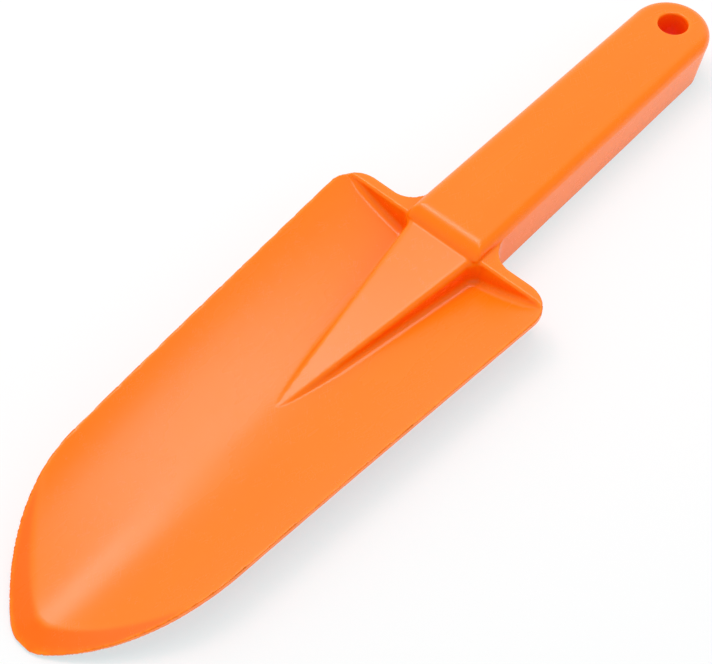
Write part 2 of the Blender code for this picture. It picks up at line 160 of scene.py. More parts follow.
def length(name, description, default, low=0.0):
    """A size in metres that a user may change."""
    return FloatProperty(
        name=name,
        description=description,
        default=default,
        min=low,
        unit="LENGTH",
        subtype="DISTANCE",
        precision=5,
    )


def ratio(name, description, default, high=1.0):
    """A share that a user may change."""
    return FloatProperty(
        name=name, description=description, default=default, min=0.0, max=high, subtype="FACTOR"
    )


def angle(name, description, degrees):
    """An angle that a user may change, given here in degrees."""
    return FloatProperty(name=name, description=description, default=math.radians(degrees), subtype="ANGLE")


def brightness(name, description, default):
    """A lamp's brightness that a user may change."""
    return FloatProperty(name=name, description=description, default=default, min=0.0)


def numbers(name, description, default, subtype="COLOR"):
    """A colour, a place or a lamp's two sides that a user may change."""
    return FloatVectorProperty(
        name=name, description=description, default=default, subtype=subtype, size=len(default)
    )


class TrowelSizes(bpy.types.PropertyGroup):
    """Sizes of the moulding."""

    wall: length("Wall", "Thickness of the plastic", 0.0024)
    handle_height: length("Handle Height", "Height of the handle's top", CAD_HIGH.z)
    handle_fall: length("Handle Fall", "How far the handle's top falls from the butt to the step", 0.0004)
    butt_radius: length("Butt Radius", "Half the width of the handle at its round end", 0.01264)
    butt_reach: length("Butt Reach", "Length of the round end of the handle", 0.0128)
    butt_draft: length("Butt Draft", "How far the round end leans in towards the table", 0.00123)
    neck_half_width: length("Neck Half Width", "Half the width of the handle at the step", 0.0129)
    end_draft: length("End Draft", "How much further the butt leans in at its very end", 0.0018)
    side_draft: length("Side Draft", "How far the sides lean in towards the table at the step", 0.00043)
    channel_draft: length("Channel Draft", "How far the channel's walls lean in towards the table", 0.0008)
    handle_edge: length("Handle Edge", "Rounding of the top edges of the handle", 0.0038)
    step_draft: length("Step Draft", "How far the step leans forward towards its foot", 0.0014)
    step_corner: length("Step Corner", "Rounding of the upright corners of the step", 0.0018)
    neck_step: length("Neck Step", "From the butt to the step at the neck", COLLAR_TOP.x - CAD_LOW.x)
    hole_radius: length("Hole Radius", "Radius of the hanging hole", 0.00455)
    hole_edge: length("Hole Edge", "Rounding of the rim of the hanging hole", 0.0006)
    hole_place: length("Hole Place", "From the butt to the middle of the hole", HOLE_X - CAD_LOW.x)
    eyelet_radius: length("Eyelet Radius", "Outer radius of the tube round the hole", EYELET_RADIUS)
    eyelet_recess: length("Eyelet Recess", "How far the tube ends above the table", EYELET_LOW.z)
    rib_thickness: length("Rib Thickness", "Thickness of the cross ribs in the handle", RIB_TOP.x - RIB_LOW.x)
    rib_recess: length("Rib Recess", "How far the ribs end above the table", RIB_LOW.z)
    rib_place: length("Rib Place", "From the butt to the middle of the first rib", RIB_X - CAD_LOW.x)
    rib_pitch: length("Rib Pitch", "From one rib to the next", NEXT_RIB_LOW.x - RIB_LOW.x)
    shoulder_height: length("Shoulder Height", "Height of the wall behind the blade", SHOULDER_TOP.z)
    shoulder_half_width: length("Shoulder Half Width", "Half the width of the blade at the step", 0.03663)
    shoulder_wall: length("Shoulder Wall", "Thickness of the wall at its top", 0.0029)
    shoulder_corner: length("Shoulder Corner", "Radius of the rear corners of the blade", 0.0091)
    wall_corner: length("Wall Corner", "Radius in which the wall follows the rear corners", 0.00605)
    wall_ahead: length("Wall Ahead", "How far the front of the wall stands ahead of the step", 0.0004)
    wall_flare: length("Wall Flare", "How far past the blade's sides that radius starts", 0.0008)
    face_draft: length("Face Draft", "How far the front of the wall leans forward towards its foot", 0.0010)
    spine_draft: length("Spine Draft", "How far the spine's sides lean out towards their foot", 0.0005)
    shoulder_edge: length("Shoulder Edge", "Rounding of the wall's top edge, over the blade", 0.0008)
    neck_fillet: length("Neck Fillet", "Radius between the handle's sides and the shoulder", 0.0079)
    neck_crease: length("Neck Crease", "Radius between the handle and what it stands on", 0.0005)
    rim_edge: length("Rim Edge", "Rounding of the outer edge of blade and shoulder", 0.0004)
    under_edge: length("Under Edge", "Rounding of the lower edges", 0.0005)
    side_arc: length("Side Arc", "Radius of the blade's sides where they curve in to the tip", 0.05805)
    tip_radius: length("Tip Radius", "Radius of the point of the blade", 0.0103)
    floor_height: length("Floor Height", "Height of the trough along its middle", 0.0039)
    tip_floor: length("Tip Floor", "Height of the trough's middle at the tip", 0.0026)
    trough_depth: length("Trough Depth", "Rise of the blade's edges above its middle at the step", 0.00984)
    bevel_width: length("Bevel Width", "Width of the bevel at the point", 0.0070)
    bevel_land: length("Bevel Land", "Thickness left at the point's edge", 0.0006)
    bevel_edge: length("Bevel Edge", "Width of the soft turn from trough to bevel", 0.00025)
    spine_half_width: length("Spine Half Width", "Half the width of the spine's top at the step", 0.0114)
    nose_half_width: length("Nose Half Width", "Half the width of the spine's top at its end", 0.0011)
    spine_length: length("Spine Length", "From the step to the end of the spine", 0.0663)
    spine_edge: length("Spine Edge", "Rounding of the spine's top edges", 0.0020)
    spine_foot: length("Spine Foot", "Radius between the trough and what rises from it", 0.0022)
    spine_corner: length("Spine Corner", "Radius between the spine and the shoulder wall", 0.0028)
    rib_count: IntProperty(name="Rib Count", description="Cross ribs in the handle", default=4, min=1)
    trough_power: FloatProperty(
        name="Trough Power", description="How the trough rises sideways: 2 is a parabola", default=1.88
    )
    trough_gain: ratio("Trough Gain", "How much deeper the trough gets from the step to the tip", 0.52)
    blade_taper: angle("Blade Taper", "Angle of each side of the blade", 4.0)
    bevel_end: angle("Bevel End", "Angle round the tip where the bevel has faded", 56.5)
    bevel_fade: FloatProperty(
        name="Bevel Fade", description="How the bevel fades along the sides: 1 is even", default=0.76
    )
    parting: length("Parting", "From the step to the plane where handle and blade are parted", 0.0011)
    voxel: length("Voxel", "Grid of the first, rough surface", 0.00055, 0.0001)


class StageSettings(bpy.types.PropertyGroup):
    """Camera, table and light."""

    camera_heading: angle("Camera Heading", "Compass direction of the view", 47.65)
    camera_tilt: angle("Camera Tilt", "How far the camera looks down", 55.347)
    camera_distance: length("Camera Distance", "From the camera to the middle of the trowel", 0.38376)
    camera_right: length("Camera Right", "Sideways shift of the camera", -0.01233, -1.0)
    camera_up: length("Camera Up", "Upward shift of the camera", -0.01382, -1.0)
    camera_lens: FloatProperty(
        name="Lens", description="Focal length in millimetres", default=72.137, subtype="DISTANCE_CAMERA"
    )
    table_colour: numbers("Table Colour", "Colour of the table", (0.97, 0.97, 0.97))
    shadow_colour: numbers(
        "Shadow Colour",
        "Part of the table's seen colour that is lit, so how dark its shadow gets",
        (0.60, 0.335, 0.31),
    )
    white_level: ratio("White Level", "Light on the open table at which it is seen as white", 1.2, 2.0)
    room_light: ratio("Room Light", "Strength of the light from all round", 0.655)
    low_light: ratio("Low Light", "How strong that light is from the side, at the table's level", 2.1, 3.0)
    high_light: ratio("High Light", "How strong that light is from straight above", 0.5, 3.0)
    dark_side: ratio("Dark Side", "How bright the near side of the room is when seen mirrored", 0.2)
    strip_strength: brightness("Strip Strength", "Brightness of the strip lamp", 4.1)
    strip_place: numbers("Strip Place", "Middle of the strip lamp", (-0.24, -0.03, 1.0), "TRANSLATION")
    strip_size: numbers("Strip Size", "Length and depth of the strip lamp", (0.36, 0.68), "TRANSLATION")
    core_strength: brightness("Core Strength", "Brightness of the lamp's core", 6.3)
    core_place: numbers("Core Place", "Middle of the lamp's core", (-0.03, -0.48, 0.99), "TRANSLATION")
    core_size: numbers("Core Size", "Length and depth of the lamp's core", (0.28, 0.32), "TRANSLATION")
    window_strength: brightness("Window Strength", "Brightness of the large soft lamp", 1.15)
    window_place: numbers("Window Place", "Middle of the large lamp", (-0.10, -0.5, 0.9), "TRANSLATION")
    window_size: numbers("Window Size", "Length and depth of the large lamp", (0.8, 0.8), "TRANSLATION")


class FinishSettings(bpy.types.PropertyGroup):
    """Colour and sheen of the plastic."""

    plastic_colour: numbers("Plastic Colour", "Colour of the plastic", (1.0, 0.194, 0.0))
    # Painted highlight: the lighter colour of convex edges.
    rubbed_colour: numbers("Edge Highlight Colour", "Colour of edges that have been rubbed", (1.0, 0.22, 0.005))
    # Painted shade: the darker, redder colour given to steep faces in hollows and to the bevel.
    painted_shade_colour: numbers("Painted Shade Colour", "Colour of the bevel and of steep hollows", (1.0, 0.12, 0.0))
    roughness: ratio("Roughness", "Roughness of the moulded skin", 0.26)
    shine: ratio("Shine", "How strongly the skin mirrors: 0.5 is plain plastic", 0.38)
    grain_size: length("Grain Size", "Size of the fine grain of the skin", 0.0004)
    grain_height: length("Grain Height", "Height of the fine grain of the skin", 0.000004)
    patch_size: length("Patch Size", "Size of the slow streaks that the plastic left as it flowed", 0.014)
    streak_change: ratio("Streak Change", "How much the streaks change the colour", 0.05)
    scuff_size: length("Scuff Size", "Distance between fine scuffs", 0.006)
    scuff_strength: ratio("Scuff Strength", "How much the scuffs roughen the skin", 0.12)


class Formula:
    """A number that changes from place to place, held as a node's output, so that sums on it read as sums."""

    def __init__(self, tree, socket):
        self.tree = tree
        self.socket = socket

    def worked(self, operation, *terms, clamp=False):
        """The result of one sum on the terms."""
        node = self.tree.nodes.new("ShaderNodeMath")
        node.operation = operation
        node.use_clamp = clamp
        feed(self.tree, node.inputs, terms)
        return Formula(self.tree, node.outputs["Value"])

    def __add__(self, other):
        return self.worked("ADD", self, other)

    def __radd__(self, other):
        return self.worked("ADD", other, self)

    def __sub__(self, other):
        return self.worked("SUBTRACT", self, other)

    def __rsub__(self, other):
        return self.worked("SUBTRACT", other, self)

    def __mul__(self, other):
        return self.worked("MULTIPLY", self, other)

    def __rmul__(self, other):
        return self.worked("MULTIPLY", other, self)

    def __truediv__(self, other):
        return self.worked("DIVIDE", self, other)

    def __rtruediv__(self, other):
        return self.worked("DIVIDE", other, self)

    def __pow__(self, other):
        return self.worked("POWER", self, other)

    def __neg__(self):
        return self.worked("MULTIPLY", self, -1.0)

    def __abs__(self):
        return self.worked("ABSOLUTE", self)


def feed(tree, sockets, terms):
    """Links or sets each socket in turn."""
    for socket, term in zip(sockets, terms):
        if isinstance(term, Formula):
            tree.links.new(term.socket, socket)
        elif isinstance(term, bpy.types.NodeSocket):
            tree.links.new(term, socket)
        else:
            socket.default_value = term


def feed_named(tree, node, terms):
    """Links or sets a node's inputs by their names."""
    for label, term in terms.items():
        feed(tree, [node.inputs[label]], [term])


def lowest(first, second):
    """The lower of two values."""
    return first.worked("MINIMUM", first, second)


def highest(first, second):
    """The higher of two values."""
    return first.worked("MAXIMUM", first, second)


def softly_highest(first, second, width):
    """The higher of two values, with a soft turn where they change over."""
    near = share(1.0 - abs(first - second) / width)
    return highest(first, second) + near * near * width / 4.0


def share(value):
    """A value held between 0 and 1."""
    return value.worked("ADD", value, 0.0, clamp=True)


def eased(value):
    """A value held between 0 and 1 that starts and ends gently."""
    held = share(value)
    return held * held * (3.0 - 2.0 * held)


def between(start, end, part):
    """A value part of the way from one to another."""
    return start + (end - start) * part


def hypotenuse(first, second):
    """Length of the slanted side over two square ones."""
    squares = first.worked("MULTIPLY_ADD", first, first, second * second)
    return squares.worked("SQRT", squares)


def chosen(condition, when_true, when_false):
    """One formula where the condition is above 0, another elsewhere."""
    above = condition.worked("GREATER_THAN", condition, 0.0)
    return when_false + (when_true - when_false) * above


def vector_math(tree, operation, *terms, scale=None):
    """One sum on directions or places."""
    node = tree.nodes.new("ShaderNodeVectorMath")
    node.operation = operation
    feed(tree, node.inputs, terms)
    if scale is not None:
        feed_named(tree, node, {"Scale": scale})
    output = "Value" if operation == "DOT_PRODUCT" else "Vector"
    return Formula(tree, node.outputs[output])


def parts_of(tree, vector):
    """The X, Y and Z of a direction or place."""
    node = tree.nodes.new("ShaderNodeSeparateXYZ")
    feed(tree, node.inputs, [vector])
    return [Formula(tree, socket) for socket in node.outputs]


def floats(names):
    """Plain number sockets of the given names."""
    return [(name, "NodeSocketFloat") for name in names]


def start_group(name, kind, inputs, outputs):
    """A node group with its named sockets.

    Returns the group, its input formulas by name, and the node of its outputs.
    """
    tree = bpy.data.node_groups.new(name, kind)
    for label, socket_type in inputs:
        tree.interface.new_socket(label, in_out="INPUT", socket_type=socket_type)
    for label, socket_type in outputs:
        tree.interface.new_socket(label, in_out="OUTPUT", socket_type=socket_type)
    start = tree.nodes.new("NodeGroupInput")
    end = tree.nodes.new("NodeGroupOutput")
    named = {label: Formula(tree, start.outputs[label]) for label, _ in inputs}
    return tree, named, end


def placed_group(tree, group, terms):
    """Puts a group into a tree with its inputs fed by name. Returns its node."""
    node = tree.nodes.new("GeometryNodeGroup" if tree.bl_idname == "GeometryNodeTree" else "ShaderNodeGroup")
    node.node_tree = group
    feed_named(tree, node, terms)
    return node


def rounded_groups():
    """Two small groups: the join of two forms with a fillet, and their overlap with a rounded edge."""
    sockets = floats(("First", "Second", "Radius"))
    for name, sign in (("rounded_join", 1.0), ("rounded_overlap", -1.0)):
        tree, given, end = start_group(name, "GeometryNodeTree", sockets, floats(["Distance"]))
        first = given["First"] * sign
        second = given["Second"] * sign
        radius = given["Radius"]
        corner = hypotenuse(highest(radius - first, 0.0), highest(radius - second, 0.0))
        distance = (highest(lowest(first, second), radius) - corner) * sign
        feed_named(tree, end, {"Distance": distance})


def rounded(group_name, first, second, radius):
    """Two forms put together by one of the rounded groups."""
    terms = {"First": first, "Second": second, "Radius": radius}
    node = placed_group(first.tree, bpy.data.node_groups[group_name], terms)
    return Formula(first.tree, node.outputs["Distance"])


def joined(first, second, radius):
    """Both forms, with a fillet where they meet."""
    return rounded("rounded_join", first, second, radius)


def overlap(first, second, radius):
    """What lies in both forms, with its edge rounded."""
    return rounded("rounded_overlap", first, second, radius)


def size_properties():
    """The sizes that the distance formula takes."""
    left_out = ("rna_type", "name", "voxel", "parting")
    return [item for item in TrowelSizes.bl_rna.properties if item.identifier not in left_out]


def places(sizes):
    """Places along the trowel, and the arc that leads from the blade's tapered side into its tip.

    The taper ends where the arc's middle is as far from the tip's as their radii differ: a x^2 + b x + c = 0.
    """
    butt = CAD_LOW.x
    tip_centre = CAD_HIGH.x - sizes.tip_radius
    step = butt + sizes.neck_step
    taper = sizes.blade_taper
    slope = -math.tan(taper)
    shift = -sizes.side_arc * math.sin(taper)
    drop = -sizes.side_arc * math.cos(taper)
    start = sizes.shoulder_half_width - slope * step + drop
    reach = sizes.side_arc - sizes.tip_radius
    a = 1 + slope**2
    b = 2 * (shift - tip_centre + slope * start)
    c = (shift - tip_centre) ** 2 + start**2 - reach**2
    taper_end = (-b - math.sqrt(b**2 - 4 * a * c)) / (2 * a)
    return {
        "Butt Centre X": butt + sizes.butt_reach,
        "Neck Step X": step,
        "Shoulder Rear X": step - sizes.shoulder_wall,
        "Neck Rear X": step - sizes.shoulder_wall - sizes.neck_fillet,
        "Spine End X": step + sizes.spine_length,
        "Hole X": butt + sizes.hole_place,
        "First Rib X": butt + sizes.rib_place,
        "Tip Region X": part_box("blade_tip")[0].x,
        "Tip Centre X": tip_centre,
        "Tip X": CAD_HIGH.x,
        "Side Arc X": taper_end + shift,
        "Side Arc Y": start + slope * taper_end,
    }


def size_names():
    """The names of all sizes and places, as the trees' inputs have them."""
    found = [item.name for item in size_properties()]
    return found + list(places(bpy.context.scene.trowel_sizes))


def distance_group():
    """How far any place is from the surface of the moulding, below zero inside the plastic.

    Its second output is 1 on the bevel and 0 elsewhere.
    """
    inputs = [("Place", "NodeSocketVector"), *floats(size_names())]
    outputs = floats(("Distance", "Bevel"))
    tree, given, end = start_group("trowel_distance", "GeometryNodeTree", inputs, outputs)
    size = SimpleNamespace(**{name.lower().replace(" ", "_"): term for name, term in given.items()})
    x, y, z = parts_of(tree, size.place)
    side = abs(y)

    # Sides of the handle, round at the butt and leaning in towards the table
    beyond = lowest(x - size.butt_centre_x, 0.0) * (size.butt_radius / size.butt_reach)
    along = (highest(x, size.butt_centre_x) - size.butt_centre_x) / (size.neck_step_x - size.butt_centre_x)
    upright_side = hypotenuse(beyond, side) - between(size.butt_radius, size.neck_half_width, along)
    round_end = share(-beyond / size.butt_radius)
    draft = between(size.butt_draft, size.side_draft, along) + size.end_draft * round_end
    handle_side = upright_side + draft * (1.0 - z / size.handle_height)
    handle_level = size.handle_height - size.handle_fall * along
    past_step = x - size.neck_step_x
    handle_plan = highest(handle_side, past_step)

    # Outline of the blade: tapered side, arc, and round point, with the straight rear edge behind
    taper = size.blade_taper
    tangent, cosine, sine = (taper.worked(kind, taper) for kind in ("TANGENT", "COSINE", "SINE"))
    tapered = (side - size.shoulder_half_width + tangent * past_step) * cosine
    arm_x = x - size.side_arc_x
    arm_y = side - size.side_arc_y
    curved = hypotenuse(arm_x, arm_y) - size.side_arc
    blade_side = chosen(arm_x * cosine - arm_y * sine, curved, tapered)
    point_x = x - size.tip_centre_x
    to_point_x = size.tip_centre_x - size.side_arc_x
    in_point = side * to_point_x + point_x * size.side_arc_y
    round_point = hypotenuse(point_x, side) - size.tip_radius
    blade_side = chosen(lowest(point_x, -in_point), round_point, blade_side)
    blade_plan = overlap(blade_side, size.shoulder_rear_x - x, size.shoulder_corner)
    plan = joined(blade_plan, handle_plan, size.neck_fillet)

    # Hollow face of the blade, and the bevel round its tip
    dip = share((x - size.spine_end_x) / (size.tip_x - size.spine_end_x))
    floor = between(size.floor_height, size.tip_floor, dip * dip)
    outward = side / size.shoulder_half_width
    depth = size.trough_depth * (1.0 + size.trough_gain * past_step / (size.tip_x - size.neck_step_x))
    trough = floor + depth * outward**size.trough_power
    slope = depth * size.trough_power / size.shoulder_half_width * outward ** (size.trough_power - 1.0)
    levelness = 1.0 / hypotenuse(slope, 1.0)
    hollow_face = (z - trough) * levelness
    turn = side.worked("ARCTAN2", side, x - size.tip_region_x)
    fade = share(1.0 - turn / size.bevel_end) ** size.bevel_fade
    drop = size.wall - size.bevel_land
    bevel_height = trough - fade * drop - blade_side * (drop / size.bevel_width)
    bevel = (z - bevel_height) * levelness
    face = softly_highest(hollow_face, bevel, size.bevel_edge)

    # Shoulder wall and spine, which share rounded upright corners
    rise = size.shoulder_height - size.floor_height
    roof = size.shoulder_height - rise / size.spine_length * past_step
    lean = size.face_draft / rise
    scoop_plan = overlap(blade_side - size.wall_flare, size.wall_ahead - past_step, size.wall_corner)
    wall_front = -scoop_plan - lean * (size.shoulder_height - z)
    run = past_step / size.spine_length
    spine_lean = size.spine_draft / rise
    spine_width = between(size.spine_half_width, size.nose_half_width, share(run))
    spine_side = side - spine_width - spine_lean * (roof - z)
    standing = joined(wall_front, spine_side, size.spine_corner)
    top = highest(z - size.shoulder_height, z - roof)
    finer = size.spine_edge * between(1.0, SPINE_EDGE_AT_END, share(run))
    ridge_edge = between(finer, size.shoulder_edge, eased((side - size.spine_half_width) / size.spine_corner))
    ridge = overlap(standing, top, ridge_edge)
    foot = size.spine_foot * share((roof - trough) / size.wall)
    blade_top = joined(ridge, face, foot)

    # Handle above the shoulder, and everything inside the outline
    neck_height = size.handle_height - size.handle_fall
    step_lean = size.step_draft / (neck_height - size.shoulder_height)
    step_front = past_step - step_lean * (neck_height - highest(z, size.shoulder_height))
    stepped = overlap(handle_side, step_front, size.step_corner)
    handle_top = overlap(stepped, z - handle_level, size.handle_edge)
    upper = joined(handle_top, blade_top, size.neck_crease)
    clear = share(handle_plan / size.neck_fillet * CLEAR_GAIN)
    thin_edge = size.bevel_land * THIN_EDGE
    thinness = share(fade * THIN_EDGE_GAIN)
    rim_edge = between(size.rim_edge, thin_edge, thinness) * clear
    outside = overlap(plan, upper, rim_edge)

    # Underside: the table under the handle, the back of the trough under the blade
    under = (trough - size.wall - z) * levelness
    resting = highest(-z, x - size.neck_rear_x)
    lower = joined(resting, under, size.under_edge * UNDER_FOOT)
    under_edge = between(size.under_edge, thin_edge, thinness)
    solid = overlap(outside, lower, under_edge)

    # Channel in the handle, carried on into the hollow of the spine
    inner_side = upright_side + size.wall + size.channel_draft * (1.0 - z / size.handle_height)
    inner_edge = size.wall / INNER_EDGE_PART
    under_deck = overlap(past_step + size.wall, z - handle_level + size.wall, inner_edge)
    passage = overlap(past_step - size.wall, z - size.shoulder_height + size.wall, inner_edge)
    channel = overlap(inner_side, joined(under_deck, passage, inner_edge), inner_edge)
    under_roof = overlap(spine_side + size.wall, top + size.wall, inner_edge)
    hollow = joined(channel, highest(under_roof, -past_step), inner_edge)

    # Cross ribs, the tube round the hanging hole, and the hole
    rib_edge = size.rib_thickness / RIB_EDGE_PART
    pitches = (x - size.first_rib_x) / size.rib_pitch
    number = pitches.worked("ROUND", pitches)
    number = lowest(highest(number, 0.0), size.rib_count - 1.0)
    from_rib = abs(x - size.first_rib_x - number * size.rib_pitch) - size.rib_thickness / 2.0
    rib = overlap(from_rib, size.rib_recess - z, rib_edge)
    hollow = overlap(hollow, -rib, size.under_edge)
    from_hole = hypotenuse(x - size.hole_x, y)
    eyelet = overlap(from_hole - size.eyelet_radius, size.eyelet_recess - z, rib_edge)
    hollow = overlap(hollow, -eyelet, size.under_edge)
    solid = overlap(solid, -hollow, size.under_edge)
    solid = overlap(solid, size.hole_radius - from_hole, size.hole_edge)
    on_bevel = share((bevel - hollow_face) / size.bevel_edge) * share(1.0 + bevel / size.bevel_land)
    feed_named(tree, end, {"Distance": solid, "Bevel": on_bevel})
    return tree


def probe_group(distance):
    """The distance at a place, and the direction in which it grows, from four measurements close by."""
    names = size_names()
    inputs = [("Place", "NodeSocketVector"), *floats(["Step", *names])]
    outputs = [("Distance", "NodeSocketFloat"), ("Growth", "NodeSocketVector")]
    tree, given, end = start_group("trowel_probe", "GeometryNodeTree", inputs, outputs)
    terms = {name: given[name] for name in names}
    corners = ((1, -1, -1), (-1, 1, -1), (-1, -1, 1), (1, 1, 1))
    total = None
    growth = None
    for corner in corners:
        arm = vector_math(tree, "SCALE", Vector(corner), scale=given["Step"])
        place = vector_math(tree, "ADD", given["Place"], arm)
        node = placed_group(tree, distance, {"Place": place, **terms})
        measured = Formula(tree, node.outputs["Distance"])
        part = vector_math(tree, "SCALE", Vector(corner), scale=measured)
        total = measured if total is None else total + measured
        growth = part if growth is None else vector_math(tree, "ADD", growth, part)
    count = float(len(corners))
    scaled = vector_math(tree, "SCALE", growth, scale=1.0 / (given["Step"] * count))
    feed_named(tree, end, {"Distance": total / count, "Growth": scaled})
    return tree


def kept(tree, geometry, name, kind, value):
    """The geometry with a value stored at each of its points."""
    node = tree.nodes.new("GeometryNodeStoreNamedAttribute")
    node.data_type = kind
    node.domain = "POINT"
    feed_named(tree, node, {"Geometry": geometry, "Name": name, "Value": value})
    return node.outputs["Geometry"]


def rough_surface(tree, distance, given):
    """The surface where a grid of distances passes zero."""
    voxel = given["Voxel"]
    grid = tree.nodes.new("GeometryNodeVolumeCube")
    extent = vector_math(tree, "SUBTRACT", given["High"], given["Low"])
    terms = {
        "Density": SURFACE_DENSITY - distance / voxel,
        "Background": OUTER_DENSITY,
        "Min": given["Low"],
        "Max": given["High"],
    }
    for axis, span in zip("XYZ", parts_of(tree, extent)):
        terms["Resolution " + axis] = span / voxel + 1.0
    feed_named(tree, grid, terms)
    skin = tree.nodes.new("GeometryNodeVolumeToMesh")
    feed_named(tree, skin, {"Volume": grid.outputs[0], "Threshold": SURFACE_DENSITY})
    return skin.outputs["Mesh"]


def moulding_tree():
    """Rough surface from a grid of distances, drawn on to the exact surface in a few steps."""
    rounded_groups()
    distance = distance_group()
    probe = probe_group(distance)
    names = size_names()
    inputs = [("Geometry", "NodeSocketGeometry"), ("Low", "NodeSocketVector"), ("High", "NodeSocketVector")]
    inputs += [("Voxel", "NodeSocketFloat"), ("Material", "NodeSocketMaterial"), *floats(names)]
    outputs = [("Geometry", "NodeSocketGeometry")]
    tree, given, end = start_group("trowel_moulding", "GeometryNodeTree", inputs, outputs)
    position = Formula(tree, tree.nodes.new("GeometryNodeInputPosition").outputs[0])
    terms = {name: given[name] for name in names}
    voxel = given["Voxel"]

    here = placed_group(tree, distance, {"Place": position, **terms})
    geometry = rough_surface(tree, Formula(tree, here.outputs["Distance"]), given)
    for _ in range(SURFACE_STEPS):
        near = placed_group(tree, probe, {"Place": position, "Step": voxel * PROBE_ARM, **terms})
        growth = Formula(tree, near.outputs["Growth"])
        steep = vector_math(tree, "DOT_PRODUCT", growth, growth)
        back = Formula(tree, near.outputs["Distance"]) / -highest(steep, LEAST_STEEPNESS)
        move = tree.nodes.new("GeometryNodeSetPosition")
        offset = vector_math(tree, "SCALE", growth, scale=back)
        feed_named(tree, move, {"Geometry": geometry, "Offset": offset})
        geometry = move.outputs["Geometry"]

    near = placed_group(tree, probe, {"Place": position, "Step": voxel * PROBE_ARM, **terms})
    facing = Formula(tree, near.outputs["Growth"])
    wide = placed_group(tree, probe, {"Place": position, "Step": voxel, **terms})
    # Above 0 on convex edges; it drives the painted edge highlight.
    edge = Formula(tree, wide.outputs["Distance"]) / voxel
    # Painted shade: steep faces that look at a nearby wall, and the bevel, are marked for the darker shade
    # colour and kept as depth.
    reach = given["Wall"] * HOLLOW_REACH
    ahead = vector_math(tree, "ADD", position, vector_math(tree, "SCALE", facing, scale=reach))
    seen = placed_group(tree, distance, {"Place": ahead, **terms})
    enclosed = share(HOLLOW_GAIN - Formula(tree, seen.outputs["Distance"]) / reach * HOLLOW_GAIN)
    upward = parts_of(tree, facing)[2]
    bevel = Formula(tree, here.outputs["Bevel"]) * BEVEL_SHADE
    depth = highest(enclosed * share(1.0 - upward), bevel)
    geometry = kept(tree, geometry, "facing", "FLOAT_VECTOR", facing)
    geometry = kept(tree, geometry, "edge", "FLOAT", edge)
    geometry = kept(tree, geometry, "depth", "FLOAT", depth)

    real = tree.nodes.new("GeometryNodeRealizeInstances")
    feed_named(tree, real, {"Geometry": geometry})
    finish = tree.nodes.new("GeometryNodeSetMaterial")
    feed_named(tree, finish, {"Geometry": real.outputs["Geometry"], "Material": given["Material"]})
    feed_named(tree, end, {"Geometry": finish.outputs["Geometry"]})
    return tree


def set_inputs(modifier, values):
    """Sets a modifier's inputs by their labels, through the sockets' identifiers."""
    for socket in modifier.node_group.interface.items_tree:
        if socket.in_out == "INPUT" and socket.name in values:
            modifier[socket.identifier] = values[socket.name]


def moulding_mesh(name):
    """The mesh of the whole moulding, from the distance formula."""
    sizes = bpy.context.scene.trowel_sizes
    guide = bpy.data.objects.new("moulding_guide", bpy.data.meshes.new("moulding_guide"))
    bpy.context.scene.collection.objects.link(guide)
    modifier = guide.modifiers.new("moulding", "NODES")
    modifier.node_group = moulding_tree()
    margin = Vector((sizes.voxel * MARGIN_VOXELS,) * 3)
    low = Vector(CAD_LOW) - margin
    high = Vector(CAD_HIGH) + margin
    steps = [math.ceil((b - a) / sizes.voxel) for a, b in zip(low, high)]
    high = low + Vector([count * sizes.voxel for count in steps])
    values = {"Low": low, "High": high, "Voxel": sizes.voxel, "Material": plastic()}
    for item in size_properties():
        values[item.name] = float(getattr(sizes, item.identifier))
    values.update(places(sizes))
    set_inputs(modifier, values)
    depsgraph = bpy.context.evaluated_depsgraph_get()
    mesh = bpy.data.meshes.new_from_object(guide.evaluated_get(depsgraph))
    bpy.data.objects.remove(guide, do_unlink=True)
    mesh.name = name
    return mesh


def parted_mesh(whole, name, cut_x, tip_end):
    """One end of the moulding, cut off square across the handle and closed."""
    form = bmesh.new()
    form.from_mesh(whole)
    everything = form.verts[:] + form.edges[:] + form.faces[:]
    cut = bmesh.ops.bisect_plane(
        form,
        geom=everything,
        plane_co=(cut_x, 0.0, 0.0),
        plane_no=(1.0, 0.0, 0.0),
        clear_inner=tip_end,
        clear_outer=not tip_end,
    )
    rim = [item for item in cut["geom_cut"] if isinstance(item, bmesh.types.BMEdge)]
    bmesh.ops.edgeloop_fill(form, edges=rim)
    mesh = bpy.data.meshes.new(name)
    form.to_mesh(mesh)
    form.free()
    return mesh


def face_exactly(mesh, cut_x):
    """Gives every corner the direction that the distance formula found there, and the closed cut its own."""
    count = len(mesh.vertices)
    facing = np.zeros(count * 3, np.float32)
    mesh.attributes["facing"].data.foreach_get("vector", facing)
    facing = facing.reshape(-1, 3)
    facing /= np.linalg.norm(facing, axis=1, keepdims=True)
    corner = np.zeros(len(mesh.loops), np.int32)
    mesh.loops.foreach_get("vertex_index", corner)
    normals = facing[corner]
    for face in mesh.polygons:
        if abs(face.center.x - cut_x) < ON_CUT and abs(face.normal.x) > SQUARE_TO_CUT:
            normals[face.loop_start : face.loop_start + face.loop_total] = face.normal
    mesh.attributes.remove(mesh.attributes["facing"])
    mesh.shade_smooth()
    mesh.normals_split_custom_set(normals)


def whole_moulding():
    """The mesh of the whole moulding, made once."""
    return bpy.data.meshes.get("whole_moulding") or moulding_mesh("whole_moulding")


def add_piece(name, mesh, nodes):
    """A piece on the part's only body, in the place of the nodes that it shows."""
    piece = bpy.data.objects.new(name, mesh)
    bpy.context.scene.collection.objects.link(piece)
    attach(piece, "root")
    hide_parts(*nodes)
    return piece


def make_part(name, tip_end, nodes):
    """One end of the moulding as a finished piece."""
    sizes = bpy.context.scene.trowel_sizes
    cut_x = places(sizes)["Neck Step X"] + sizes.parting
    mesh = parted_mesh(whole_moulding(), name, cut_x, tip_end)
    face_exactly(mesh, cut_x)
    mesh.materials.append(plastic())
    if not mesh.polygons:
        raise RuntimeError(name + " came out empty")
    return add_piece(name, mesh, nodes)


